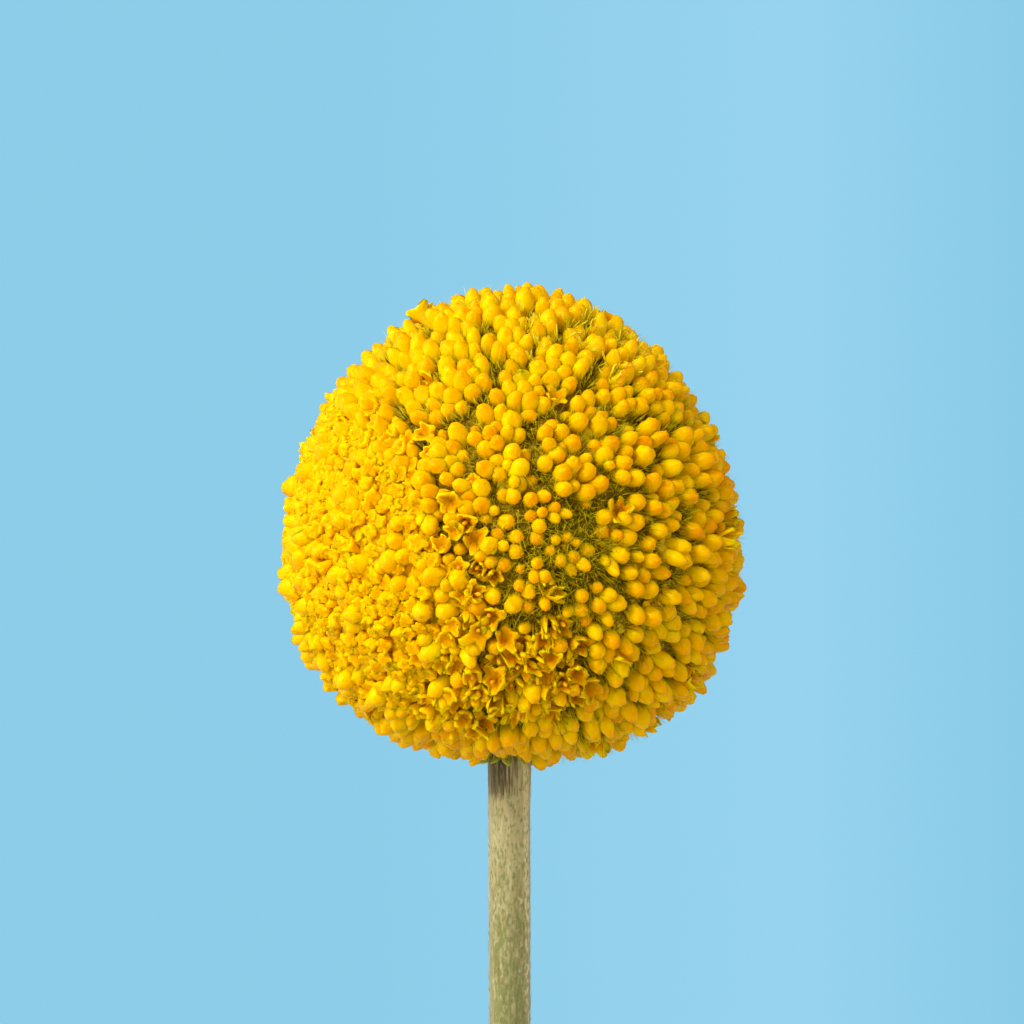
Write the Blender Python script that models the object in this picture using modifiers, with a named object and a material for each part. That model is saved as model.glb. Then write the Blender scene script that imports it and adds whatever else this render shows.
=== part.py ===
"""Craspedia: one round flower head on its cut stem, standing in a small clear glass bottle of water.

Metres, +Z up. The origin is on the bottle's axis at the plane of its foot ring. The front is -Y.
"""

import math
import random

import bmesh
import bpy
from mathutils import Matrix, Vector

MM = 0.001
FIT_GAP = 0.3 * MM
WELD = 0.01 * MM

# Bottle: round, thick-walled, with a pushed-up base and a rolled rim
BODY_RADIUS = 20 * MM
BOTTLE_HEIGHT = 78 * MM
WALL = 1.8 * MM
FLOOR_TOP = 4.2 * MM
SHOULDER_START = 44 * MM
NECK_RADIUS = 7.2 * MM
BORE_RADIUS = 5.0 * MM
SHOULDER_ROUND = 11.0 * MM
SHOULDER_FILLET = 4.0 * MM
RIM_RADIUS = 9.4 * MM
RIM_DEPTH = 6.0 * MM
RIM_ROUND = 1.5 * MM
HEEL_ROUND = 3.5 * MM
FOOT_INNER_RADIUS = 12.0 * MM
PUSH_UP = 1.4 * MM
INSIDE_HEEL_ROUND = 3.0 * MM
TURNED_SIDES = 40

# Water: stands in the straight part of the bottle and creeps up the glass at its edge
WATER_LEVEL = 40 * MM
MENISCUS_RISE = 0.9 * MM
MENISCUS_WIDTH = 1.7 * MM
MENISCUS_STEPS = 3

# Flower head: a ball a little taller than wide, with a bud or an open floret on each of its cells
HEAD_RADIUS = 15.1 * MM
HEAD_STRETCH = 1.035
STEM_SHOWN = 26 * MM
HEAD_CENTRE_Z = BOTTLE_HEIGHT + STEM_SHOWN + HEAD_RADIUS * HEAD_STRETCH
BUD_HEIGHTS = (2.15 * MM, 2.6 * MM)
CORE_RADIUS = HEAD_RADIUS - 2.3 * MM
BUD_COUNT = 394
SPIRAL_SHAKE = 0.028

# Rings of a bud, from the core out: width as a share of the ring below, and rise as a share of its height
BUD_RINGS = ((0.86, 0.58), (0.72, 0.32))
BUD_TIP = 0.10
OPEN_RINGS = ((0.86, 0.58), (1.0, 0.30))
OPEN_THROAT = -0.35
RING_ROUNDNESS = 0.6

# Florets open first on one side of the head, and a few open elsewhere
OPEN_DIRECTION = Vector((-0.80, -0.45, -0.40)).normalized()
OPEN_REACH = 0.55
OPEN_SHARE_NEAR = 0.6
OPEN_SHARE_FAR = 0.06

# Stem: leans on the rim of the neck and straightens under the head
STEM_RADIUS = 1.3 * MM
STEM_SIDES_LEVEL = 3
STEM_STEPS = 24
STEM_FOOT_Y = 2.3 * MM
STEM_TOP_Y = -4.2 * MM
STEM_BEND = 1.6
STEM_SEAT = 1.2 * MM
STEM_FOOT_Z = FLOOR_TOP + FIT_GAP
STEM_TOP_Z = HEAD_CENTRE_Z - CORE_RADIUS * HEAD_STRETCH + STEM_SEAT
CUT_SLANT = math.radians(35)

RANDOM_SEED = 11


def clear_scene():
    for obj in list(bpy.data.objects):
        bpy.data.objects.remove(obj)


def new_collection(name):
    collection = bpy.data.collections.new(name)
    bpy.context.scene.collection.children.link(collection)
    return collection


def plain_material(name, colour, roughness, transmission=0.0, ior=1.5):
    material = bpy.data.materials.new(name)
    material.use_nodes = True
    shader = material.node_tree.nodes["Principled BSDF"]
    shader.inputs["Base Color"].default_value = (*colour, 1.0)
    shader.inputs["Roughness"].default_value = roughness
    shader.inputs["Transmission Weight"].default_value = transmission
    shader.inputs["IOR"].default_value = ior
    return material


def place(name, mesh, collection, material=None):
    obj = bpy.data.objects.new(name, mesh)
    collection.objects.link(obj)
    if material:
        mesh.materials.append(material)
    return obj


def hide_cutter(obj):
    obj.hide_render = True
    obj.display_type = "WIRE"


def boolean(obj, cutter):
    modifier = obj.modifiers.new("cut_" + cutter.name, "BOOLEAN")
    modifier.operation = "DIFFERENCE"
    modifier.object = cutter


# Turned shapes: a profile in (radius, height), swept round the Z axis


def arc(radius_at, height_at, size, start, end, steps=4):
    """Points on a circle of the profile plane, from one angle to another in degrees."""
    angles = [math.radians(start + (end - start) * i / steps) for i in range(steps + 1)]
    return [(radius_at + size * math.cos(a), height_at + size * math.sin(a)) for a in angles]


def shoulder(body, neck, round_size, fillet_size):
    """The shoulder's round and the fillet into the neck, tangent to each other, from the body up."""
    round_at = body - round_size
    fillet_at = neck + fillet_size
    reach = round_size + fillet_size
    meet = math.degrees(math.acos((fillet_at - round_at) / reach))
    fillet_z = SHOULDER_START + reach * math.sin(math.radians(meet))
    convex = arc(round_at, SHOULDER_START, round_size, 0, meet, 6)
    concave = arc(fillet_at, fillet_z, fillet_size, 180 + meet, 180, 3)
    return convex + concave[1:]


def turned(name, profile, collection, material):
    mesh = bpy.data.meshes.new(name)
    points = [(radius, 0.0, height) for radius, height in profile]
    mesh.from_pydata(points, [(i, i + 1) for i in range(len(points) - 1)], [])
    obj = place(name, mesh, collection, material)
    screw = obj.modifiers.new("turn", "SCREW")
    screw.steps = TURNED_SIDES
    screw.render_steps = TURNED_SIDES
    screw.use_merge_vertices = True
    screw.merge_threshold = WELD
    return obj


def bottle_profile():
    inside_radius = BODY_RADIUS - WALL
    heel_at = inside_radius - INSIDE_HEEL_ROUND
    rim_low = BOTTLE_HEIGHT - RIM_DEPTH
    inside = [(0.0, FLOOR_TOP)]
    inside += arc(heel_at, FLOOR_TOP + INSIDE_HEEL_ROUND, INSIDE_HEEL_ROUND, -90, 0)
    inside += shoulder(inside_radius, BORE_RADIUS, SHOULDER_ROUND - WALL, SHOULDER_FILLET + WALL)
    rim = arc(BORE_RADIUS + RIM_ROUND, BOTTLE_HEIGHT - RIM_ROUND, RIM_ROUND, 180, 90, 3)
    rim += arc(RIM_RADIUS - RIM_ROUND, BOTTLE_HEIGHT - RIM_ROUND, RIM_ROUND, 90, 0, 3)
    rim += arc(RIM_RADIUS - RIM_ROUND, rim_low + RIM_ROUND, RIM_ROUND, 0, -90, 3)
    rim += [(NECK_RADIUS, rim_low)]
    outside = shoulder(BODY_RADIUS, NECK_RADIUS, SHOULDER_ROUND, SHOULDER_FILLET)[::-1]
    outside += arc(BODY_RADIUS - HEEL_ROUND, HEEL_ROUND, HEEL_ROUND, 0, -90)
    dome = (FOOT_INNER_RADIUS**2 + PUSH_UP**2) / (2 * PUSH_UP)
    spread = math.degrees(math.asin(FOOT_INNER_RADIUS / dome))
    outside += arc(0.0, PUSH_UP - dome, dome, 90 - spread, 90, 3)[:-1] + [(0.0, PUSH_UP)]
    return inside + rim + outside


def water_profile():
    edge = BODY_RADIUS - WALL - FIT_GAP
    bottom = FLOOR_TOP + FIT_GAP
    heel = INSIDE_HEEL_ROUND
    top = [(0.0, WATER_LEVEL)]
    for step in range(MENISCUS_STEPS + 1):
        share = step / MENISCUS_STEPS
        inwards = MENISCUS_WIDTH * (1 - share)
        top += [(edge - inwards, WATER_LEVEL + MENISCUS_RISE * share**2)]
    return top + arc(edge - heel, bottom + heel, heel, 0, -90) + [(0.0, bottom)]


# The stem's line, which its hole in the water and its socket in the head follow


def stem_point(height):
    share = (height - STEM_FOOT_Z) / (STEM_TOP_Z - STEM_FOOT_Z)
    lean = (STEM_FOOT_Y - STEM_TOP_Y) * max(0.0, 1 - share) ** STEM_BEND
    return Vector((0.0, STEM_TOP_Y + lean, height))


def tube_on_stem_line(name, radius, low, high, collection, material=None):
    """A capped tube along the stem's line, as a mesh that can be cut or can cut."""
    curve = bpy.data.curves.new(name + "_line", "CURVE")
    curve.dimensions = "3D"
    curve.bevel_depth = radius
    curve.bevel_resolution = STEM_SIDES_LEVEL
    curve.use_fill_caps = True
    spline = curve.splines.new("POLY")
    spline.points.add(STEM_STEPS)
    for i, point in enumerate(spline.points):
        point.co = (*stem_point(low + (high - low) * i / STEM_STEPS), 1.0)
    line = place(name + "_line", curve, collection)
    bpy.context.view_layer.update()
    graph = bpy.context.evaluated_depsgraph_get()
    mesh = bpy.data.meshes.new_from_object(line.evaluated_get(graph))
    bpy.data.objects.remove(line)
    weld = bmesh.new()
    weld.from_mesh(mesh)
    bmesh.ops.remove_doubles(weld, verts=weld.verts, dist=WELD)
    bmesh.ops.recalc_face_normals(weld, faces=weld.faces)
    weld.to_mesh(mesh)
    weld.free()
    return place(name, mesh, collection, material)


def slanted_knife(collection):
    """A box whose top face is the slant of the stem's cut end, with the low tip at the stem's foot."""
    size = 10 * STEM_RADIUS
    box = bmesh.new()
    bmesh.ops.create_cube(box, size=size)
    mesh = bpy.data.meshes.new("stem_knife")
    box.to_mesh(mesh)
    box.free()
    knife = place("stem_knife", mesh, collection)
    tip = stem_point(STEM_FOOT_Z) - Vector((STEM_RADIUS, 0.0, 0.0))
    slant = Matrix.Rotation(-CUT_SLANT, 4, "Y")
    knife.matrix_world = Matrix.Translation(tip) @ slant @ Matrix.Translation((0, 0, -size / 2))
    hide_cutter(knife)
    return knife


# The flower head: one cell of the ball for each bud, raised into a bud or an open floret


def spiral_direction(index, count, draw):
    """Seed-head spiral over a whole ball, shaken a little so that no row runs straight."""
    height = 1 - (2 * index + 1) / count
    turn = index * math.pi * (3 - math.sqrt(5))
    flat = math.sqrt(1 - height * height)
    point = Vector((flat * math.cos(turn), flat * math.sin(turn), height))
    shake = Vector([draw.uniform(-SPIRAL_SHAKE, SPIRAL_SHAKE) for _ in range(3)])
    return (point + shake).normalized()


def ball_of_cells(count, radius, draw):
    """A closed ball with one many-sided face round each spiral point."""
    hull = bmesh.new()
    for index in range(count):
        hull.verts.new(spiral_direction(index, count, draw) * radius)
    bmesh.ops.convex_hull(hull, input=hull.verts)
    ball = bmesh.new()
    corner = {}
    for face in hull.faces:
        corner[face] = ball.verts.new(face.calc_center_median().normalized() * radius)
    for point in hull.verts:
        across = point.co.orthogonal().normalized()
        along = point.co.normalized().cross(across)
        around = {}
        for face in point.link_faces:
            offset = corner[face].co - point.co
            around[face] = math.atan2(offset.dot(along), offset.dot(across))
        ball.faces.new([corner[face] for face in sorted(around, key=around.get)])
    hull.free()
    ball.normal_update()
    return ball


def raise_ring(ball, face, scale, rise):
    """Steps the face outwards as a ring, rounder than its cell and scale times its size."""
    outwards = face.calc_center_median().normalized()
    bmesh.ops.inset_individual(ball, faces=[face], thickness=WELD)
    centre = face.calc_center_median()
    reach = [(vert.co - centre).length for vert in face.verts]
    mean = sum(reach) / len(reach)
    for vert, length in zip(face.verts, reach):
        share = 1 + RING_ROUNDNESS * (mean / length - 1)
        vert.co = centre + (vert.co - centre) * share * scale + outwards * rise


def raise_bud(ball, face, height, rings, tip_rise):
    """A closed bud ends in a blunt tip. An open floret flares, and its tip is sunk as a throat."""
    outwards = face.calc_center_median().normalized()
    for scale, rise in rings:
        raise_ring(ball, face, scale, height * rise)
    tip = bmesh.ops.poke(ball, faces=[face])["verts"][0]
    tip.co += outwards * height * tip_rise


def opens(direction, draw):
    near = direction.dot(OPEN_DIRECTION) > OPEN_REACH
    return draw.random() < (OPEN_SHARE_NEAR if near else OPEN_SHARE_FAR)


def flower_head(collection, material, socket):
    draw = random.Random(RANDOM_SEED)
    ball = ball_of_cells(BUD_COUNT, CORE_RADIUS, draw)
    for face in list(ball.faces):
        direction = face.calc_center_median().normalized()
        height = draw.uniform(*BUD_HEIGHTS)
        if opens(direction, draw):
            raise_bud(ball, face, height, OPEN_RINGS, OPEN_THROAT)
        else:
            raise_bud(ball, face, height, BUD_RINGS, BUD_TIP)
    bmesh.ops.triangulate(ball, faces=ball.faces)
    mesh = bpy.data.meshes.new("flower_head")
    ball.to_mesh(mesh)
    ball.free()
    mesh.transform(Matrix.Diagonal((1, 1, HEAD_STRETCH, 1)))
    mesh.shade_smooth()
    head = place("flower_head", mesh, collection, material)
    head.location = (0.0, STEM_TOP_Y, HEAD_CENTRE_Z)
    boolean(head, socket)


def main():
    clear_scene()
    parts = new_collection("craspedia_in_bottle")
    cutters = new_collection("cutters")

    glass = plain_material("clear_glass", (0.90, 0.95, 0.93), 0.02, 1.0, 1.52)
    liquid = plain_material("water", (0.93, 0.97, 0.98), 0.0, 1.0, 1.33)
    felted = plain_material("felted_stem", (0.37, 0.33, 0.15), 0.85)
    waxy = plain_material("waxy_florets", (0.90, 0.52, 0.01), 0.5)

    turned("bottle", bottle_profile(), parts, glass)
    water = turned("water", water_profile(), parts, liquid)

    loose = STEM_RADIUS + FIT_GAP
    beyond = 3 * MM
    hole = tube_on_stem_line(
        "stem_hole", loose, STEM_FOOT_Z - beyond, WATER_LEVEL + beyond, cutters
    )
    hide_cutter(hole)
    boolean(water, hole)

    stem = tube_on_stem_line(
        "stem", STEM_RADIUS, STEM_FOOT_Z - beyond, STEM_TOP_Z, parts, felted
    )
    stem.data.shade_smooth()
    stem.data.set_sharp_from_angle(angle=math.radians(50))
    boolean(stem, slanted_knife(cutters))

    socket = tube_on_stem_line(
        "stem_socket", loose, STEM_TOP_Z - 2 * beyond, STEM_TOP_Z + FIT_GAP, cutters
    )
    hide_cutter(socket)
    flower_head(parts, waxy, socket)


main()
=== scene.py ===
"""The looks of a craspedia flower head on its stem, in a small clear bottle of water."""

import math

import bpy
import numpy as np
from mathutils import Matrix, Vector


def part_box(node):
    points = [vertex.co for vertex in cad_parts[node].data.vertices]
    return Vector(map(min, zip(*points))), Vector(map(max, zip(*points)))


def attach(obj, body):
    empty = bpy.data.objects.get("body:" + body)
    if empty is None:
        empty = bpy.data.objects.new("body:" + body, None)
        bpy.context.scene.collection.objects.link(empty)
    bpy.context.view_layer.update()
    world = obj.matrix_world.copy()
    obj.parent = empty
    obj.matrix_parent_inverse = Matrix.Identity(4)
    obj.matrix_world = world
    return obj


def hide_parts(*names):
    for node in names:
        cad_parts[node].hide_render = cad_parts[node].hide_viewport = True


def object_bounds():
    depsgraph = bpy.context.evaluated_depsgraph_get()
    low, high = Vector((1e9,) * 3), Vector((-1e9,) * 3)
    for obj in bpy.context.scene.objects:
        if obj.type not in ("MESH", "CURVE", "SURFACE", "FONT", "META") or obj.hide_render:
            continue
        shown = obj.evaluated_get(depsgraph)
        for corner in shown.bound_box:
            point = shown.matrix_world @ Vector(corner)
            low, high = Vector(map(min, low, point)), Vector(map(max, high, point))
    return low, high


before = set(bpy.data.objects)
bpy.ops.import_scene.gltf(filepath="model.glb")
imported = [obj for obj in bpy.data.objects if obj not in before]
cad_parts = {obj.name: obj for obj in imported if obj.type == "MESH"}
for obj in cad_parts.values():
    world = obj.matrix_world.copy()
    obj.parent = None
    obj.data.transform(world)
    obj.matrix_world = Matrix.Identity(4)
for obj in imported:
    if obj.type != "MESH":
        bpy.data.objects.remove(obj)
cad_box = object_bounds()

MM = 0.001
draw = np.random.default_rng(7)

# Places that the frame gives. The photo's head sits a little to the right and reaches out a little more
HEAD_SHIFT = np.array([0.31, 0.0, -0.02]) * MM
HEAD_GROWTH = 0.34 * MM
# The real head is fuller below its middle than above: how strongly
LOWER_FULLNESS = 0.105
# It also bulges a little at its lower right: where to, how far round in degrees, and how much
BULGE_DIRECTION = (0.6, -0.1, -0.8)
BULGE_REACH = 26
BULGE = 0.024
HEAD_LOW, HEAD_HIGH = (np.array(corner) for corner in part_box("flower_head"))
HEAD_CENTRE = (HEAD_LOW + HEAD_HIGH) / 2 + HEAD_SHIFT
HEAD_REACH = (HEAD_HIGH - HEAD_LOW) / 2 + HEAD_GROWTH
HEAD_MEAN = HEAD_REACH.mean()
STEM_LOW, STEM_HIGH = (np.array(corner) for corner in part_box("stem"))
BOTTLE_LOW, BOTTLE_HIGH = (np.array(corner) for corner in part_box("bottle"))

# Florets: how far apart closed, crowded and young ones stand
FLORETS_TRIED = 4860
BUD_ROOM = 1.37 * MM
OPEN_ROOM = 0.85 * MM
YOUNG_ROOM = 1.27 * MM
# How crowded they are where open ones mix with closed ones
MIXED_CROWDING = 0.45
# They push each other apart in rounds: how far of the way each time, and how hard at most
SETTLE_ROUNDS = 24
SETTLE_STEP = 0.35
MOST_PUSH = 0.5
FLORET_SHAKE = 0.03
SETTLED_SHAKE = 0.11 * MM
# Lengths and widths vary between these shares of the usual
FLORET_LENGTH = 4.3 * MM
FLORET_LENGTHS = (0.97, 1.05)
FLORET_WIDTHS = (0.80, 1.12)
BUD_WIDTH = 0.595 * MM
OPEN_WIDTH = 0.52 * MM
FLORET_RISE = 0.85 * MM
# Open florets that have room around them are wider by this share
LOOSE_GROWTH = 0.5
# Crowded ones end at more even depths: this share of their differences is gone. Their buds stand out
# and are wider
CROWDED_EVENNESS = 0.25
CROWDED_DEPTH = 0.45 * MM
CROWDED_BUD_RISE = 0.4 * MM
CROWDED_BUD_GROWTH = 0.15

# Late florets, which are smaller and lower than those round them
LATE_SHARE = 0.12
LATE_DEPTH = 0.50 * MM
LATE_WIDTH = 0.82

# Closed florets: the share whose tips are puckered, and how lumpy these and the others are, in widths
PUCKERED_SHARE = 0.4
PUCKERED_LUMPS = 0.07
PLAIN_LUMPS = 0.025
# Lumps are flatter along a floret than across it, and come in between these places along it
BUD_LUMP_SHAPE = (1.0, 1.0, 0.15)
BUD_LUMPS_FROM = (0.35, 0.75)
BUD_BEND = 0.12 * MM
# How amber they are: less by these shares in the crowd and at the top, more among the youngest
AMBER_POWER = 1.4
CROWDED_PALENESS = 0.6
TOP_PALENESS = 0.6
TOP_FROM = (0.3, 0.9)
YOUNG_AMBER = 0.35

# Open florets: the ranges that their lobes are drawn from, in shares of a lobe's full shape
LOBES = 5
LOBE_SHAKE = 0.4
LOBE_SWING = 0.4
LOBE_LENGTHS = (0.4, 0.9)
LONG_LOBES = 1.2
NOTCH_DEPTHS = (0.3, 1.1)
OPEN_LUMPS, LOOSE_LUMPS = 0.04, 0.03
OPEN_LUMP_SHAPE = (1.0, 1.0, 0.3)
OPEN_LUMPS_FROM = (0.74, 0.82)
OPEN_BEND = 0.08 * MM
LOOSE_AMBER = (0.5, 1.0)
CROWDED_AMBER = (0.0, 0.35)
# Crowded ones: how far lobes are open at least, how full the throat is, and what is left of the
# differences between florets, of the shake and of the notches
CROWDED_OPENED = 0.4
CROWDED_THROAT = 0.95
CROWDED_SPREAD = 0.6
CROWDED_SHAKE = 0.5
CROWDED_NOTCH = 0.15

# Anther columns: the share of loose open florets that show one
COLUMN_SHARE = 0.4
COLUMN_LEAN = 0.10 * MM
COLUMN_BEND = 0.05 * MM

# Clusters of about eight florets, which fan out from one place on the core
CLUSTERS = 215
CLUSTER_SHAKE = 0.06
CLUSTER_PULL = 0.08
CLUSTER_RISE = 0.35 * MM
ROOT_SPREAD = 0.45
ROOT_SHAKE = 0.32 * MM
OPEN_ROOT_SHAKE = 0.8 * MM
CORE_DEPTH = 2.1 * MM
CORE_DOME = 0.3 * MM
CORE_SHAKE = 0.17 * MM
CROWDED_CORE_RISE = 0.6 * MM
CROWDED_CORE_FROM = 0.65
CORE_DOME_REACH = (0.5 * MM, 2.2 * MM)
STEM_CLEAR = 1.95 * MM

# Patches on the head are whole up to the first share of their reach, and gone past the second
PATCH_WHOLE, PATCH_GONE = 0.6, 1.25
# Where florets are open: the middle of a patch, how far it reaches in degrees, and the share open there.
# They are crowded in the first patch only
OPEN_PATCHES = (
    ((-0.86, -0.46, -0.22), 50, 0.90),
    ((-0.12, -0.80, -0.60), 28, 0.70),
    ((-0.45, -0.85, 0.10), 18, 0.40),
    ((0.30, 0.85, -0.35), 38, 0.75),
)
OPEN_ELSEWHERE = 0.025

# The youngest florets: smaller, sunk a little and fewer of them open, so that the hairs between show
YOUNG_DIRECTION = (0.19, -0.97, -0.13)
YOUNG_REACH = 18
YOUNG_DEPTH = 0.30 * MM
YOUNG_SHRINK = 0.22
YOUNG_CLOSED = 0.6

# Hairs between the florets. A tuft has its tips between two depths, fanned out by a spread, in
# millimetres
EVEN_SHAKE = 0.02
GAP_TRIES = 7000
GAPS = 460
GAP_CLEAR = 1.3 * MM
HAIRS_IN_GAP = 24
GAP_TUFT = (0.2, 1.7, 0.75)
TANGLE_HAIRS = 1000
TANGLE_REACH = 0.13
TANGLE_TUFT = (0.4, 2.2, 1.5)
STUBBLE_HAIRS = 16000
STUBBLE_TUFT = (0.8, 1.6, 0.5)
HAIR_WIDTH = 0.045 * MM
HAIR_WIDTHS = (0.7, 1.15)
HAIR_ROOT_DEPTH = 1.9 * MM
HAIR_ROOT_SPREAD = 0.35
# The share of hairs that crowded florets leave no room for, and the crowding from which they go
HAIRLESS_SHARE = 0.85
HAIRLESS_FROM = 0.6

# Chaff: shreds in the gaps near the top, up to this many degrees from a middle. Green bracts: round the stem
CHAFF_DIRECTION = (0.28, -0.42, 0.86)
CHAFF_REACH = 25
SHREDS_IN_GAP = 9
CHAFF_TUFT = (0.2, 1.0, 0.5)
CHAFF_ROOT_DEPTH = 1.2 * MM
CHAFF_WIDTH = 0.07 * MM
CHAFF_WIDTHS = (0.5, 1.2)
CHAFF_BEND = 0.06 * MM
GREEN_BRACTS = 16
BRACT_SHAKE = 0.4
BRACT_WIDTH = 0.42 * MM
BRACT_BEND = 0.1 * MM
# Their roots from the stem's middle and above the head's foot, and their tips, in millimetres
BRACT_ROOT_OUT, BRACT_ROOT_UP = 1.1, 1.5
BRACT_TIPS_OUT = (1.5, 2.2)
BRACT_TIPS_UP = (0.1, 0.8)


def unit(vectors):
    return vectors / np.linalg.norm(vectors, axis=-1, keepdims=True)


def smooth(low, high, value):
    share = np.clip((value - low) / (high - low), 0, 1)
    return share * share * (3 - 2 * share)


# Colours and nodes


def linear(hex_colour):
    """An sRGB hex colour as linear red, green, blue and alpha."""
    parts = [int(hex_colour[i : i + 2], 16) / 255 for i in (1, 3, 5)]
    return (*[p / 12.92 if p <= 0.04045 else ((p + 0.055) / 1.055) ** 2.4 for p in parts], 1.0)


def add(tree, kind, inputs=None, stops=None, **settings):
    """Adds a node with its settings, its inputs as values or as links, and its ramp's stops."""
    node = tree.nodes.new(kind)
    for name, value in settings.items():
        setattr(node, name, value)
    for name, value in (inputs or {}).items():
        if isinstance(value, bpy.types.NodeSocket):
            tree.links.new(value, node.inputs[name])
        else:
            node.inputs[name].default_value = value
    if stops:
        elements = node.color_ramp.elements
        while len(elements) < len(stops):
            elements.new(0.5)
        for element, (place, colour) in zip(elements, stops):
            element.position = place
            element.color = linear(colour)
    return node


MIX_FACTOR, MIX_A, MIX_B, MIX_RESULT = 0, 6, 7, 2


def new_material(name):
    """A material with an empty tree but for its output, and that tree."""
    material = bpy.data.materials.new(name)
    material.use_nodes = True
    tree = material.node_tree
    tree.nodes.clear()
    add(tree, "ShaderNodeOutputMaterial")
    return material, tree


def shaded(material, inputs):
    """The material, with its shader made and joined to its output."""
    tree = material.node_tree
    shader = add(tree, "ShaderNodeBsdfPrincipled", inputs)
    tree.links.new(shader.outputs[0], tree.nodes["Material Output"].inputs["Surface"])
    return material


def object_place(tree):
    return add(tree, "ShaderNodeTexCoord").outputs["Object"]


def ramp(tree, value, stops):
    """A colour that follows a value."""
    return add(tree, "ShaderNodeValToRGB", {"Fac": value}, stops).outputs["Color"]


def relief(tree, strength, distance, height):
    """A normal that is tilted by small heights."""
    inputs = {"Strength": strength, "Distance": distance, "Height": height}
    return add(tree, "ShaderNodeBump", inputs).outputs["Normal"]


def rescaled(tree, value, low, high, to_low=0.0, to_high=1.0):
    """A value carried from one range to another."""
    span = {"Value": value, "From Min": low, "From Max": high, "To Min": to_low, "To Max": to_high}
    return add(tree, "ShaderNodeMapRange", span).outputs["Result"]


def worked_out(tree, operation, *values):
    return add(tree, "ShaderNodeMath", dict(enumerate(values)), operation=operation).outputs[0]


def mixed(tree, share, first, second):
    colours = {MIX_FACTOR: share, MIX_A: first, MIX_B: second}
    return add(tree, "ShaderNodeMix", colours, data_type="RGBA").outputs[MIX_RESULT]


def copy_values(tree):
    """The values that each mesh carries: how far along a copy each point is, and the copy's chance."""
    names = ("along", "chance")
    return [add(tree, "ShaderNodeAttribute", attribute_name=name).outputs["Fac"] for name in names]


def two_ramps(tree, first, second):
    """A colour from root to tip that differs from one copy to the next."""
    along, chance = copy_values(tree)
    return mixed(tree, chance, ramp(tree, along, first), ramp(tree, along, second))


def layered(tree, colour, coats):
    """Lays colours over one another. Each shows from a low value on, in full from a high one."""
    for value, low, high, most, hex_colour in coats:
        share = rescaled(tree, value, low, high, to_high=most)
        colour = mixed(tree, share, colour, linear(hex_colour))
    return colour


def noise(tree, place, cell, detail=2.0):
    """Noise whose features are as wide as the cell, given in millimetres across, across and along."""
    size = tuple(1 / (c * MM) for c in cell)
    scaled = add(tree, "ShaderNodeMapping", {"Vector": place, "Scale": size})
    pattern = {"Vector": scaled.outputs["Vector"], "Scale": 1.0, "Detail": detail}
    return add(tree, "ShaderNodeTexNoise", pattern).outputs["Fac"]


def waxy_bud():
    """Closed floret: fresh petal tissue with a thin wax bloom. Satin, glowing where light passes through."""
    material, tree = new_material("waxy_bud")
    colour = two_ramps(
        tree,
        [(0.20, "#C2BA00"), (0.45, "#DECE00"), (0.66, "#F6D600"), (0.84, "#FAD000"), (1.0, "#F4B400")],
        [(0.20, "#B8B000"), (0.45, "#D0C000"), (0.66, "#EAC600"), (0.84, "#F0BE00"), (1.0, "#E89000")],
    )
    place = object_place(tree)
    # Petals are unevenly ripe and a little bruised in patches of about half a millimetre
    ripeness = noise(tree, place, (0.5,) * 3, 3.0)
    coats = [(ripeness, 0.50, 0.72, 0.4, "#DCA400"), (ripeness, 0.48, 0.30, 0.45, "#EED808")]
    # Petal cells are about 0.03 mm across: drawn at 0.11 mm, which still reads as a fine grain
    cells = noise(tree, place, (0.11,) * 3)
    return shaded(material, {
        "Base Color": layered(tree, colour, coats),
        "Roughness": 0.2,
        "IOR": 1.42,
        "Specular IOR Level": 0.3,
        "Specular Tint": linear("#FFDC50"),
        "Subsurface Weight": 0.8,
        "Subsurface Radius": (1.0, 0.72, 0.05),
        "Subsurface Scale": 0.7 * MM,
        "Normal": relief(tree, 0.5, 0.013 * MM, cells),
    })


def open_floret_tissue():
    """Open floret: the same petal tissue unfolded, thinner and paler, with an amber throat that turns dark
    brown at its deepest, partly as painted shade.
    """
    material, tree = new_material("open_floret_tissue")
    colour = two_ramps(
        tree,
        [(0.0, "#D6B604"), (0.35, "#F0C000"), (0.50, "#F8BE00"), (0.72, "#F4B400"), (1.0, "#EEA800")],
        # The last stop darkens the deep throat: partly its own amber, partly painted shade
        [(0.0, "#B89C08"), (0.32, "#D8A400"), (0.49, "#EEB400"), (0.55, "#FFD00C"), (0.63, "#DE9800"),
         (1.0, "#8E4C00")],
    )
    return shaded(material, {
        "Base Color": colour,
        "Roughness": 0.45,
        "IOR": 1.42,
        "Specular IOR Level": 0.1,
        "Specular Tint": linear("#FFDC50"),
        "Subsurface Weight": 0.85,
        "Subsurface Radius": (1.0, 0.9, 0.1),
        "Subsurface Scale": 0.4 * MM,
    })


def anther_column():
    """Joined anthers: drier than petals and dusted with pollen, so matt and a deeper amber."""
    material, tree = new_material("anther_column")
    colour = two_ramps(
        tree,
        [(0.5, "#C89000"), (0.85, "#ECB000"), (1.0, "#F8C814")],
        [(0.5, "#A86C00"), (0.85, "#D89400"), (1.0, "#EEAC00")],
    )
    return shaded(material, {"Base Color": colour, "Roughness": 0.7, "IOR": 1.45, "Specular IOR Level": 0.25})


def silky_hair():
    """Pappus hair: dry, silky and thin, so it reads as pale green over the darker core."""
    material, tree = new_material("silky_hair")
    colour = two_ramps(
        tree,
        # Roots darken deep among the florets: partly the hairs' own colour, partly painted shade
        [(0.0, "#8A6E00"), (0.40, "#C6AE00"), (0.72, "#EAD800"), (1.0, "#FFF25C")],
        [(0.0, "#765E00"), (0.40, "#AE9C00"), (0.72, "#D0C400"), (1.0, "#EEE230")],
    )
    return shaded(material, {"Base Color": colour, "Roughness": 0.5, "IOR": 1.5, "Specular IOR Level": 0.1})


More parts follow.
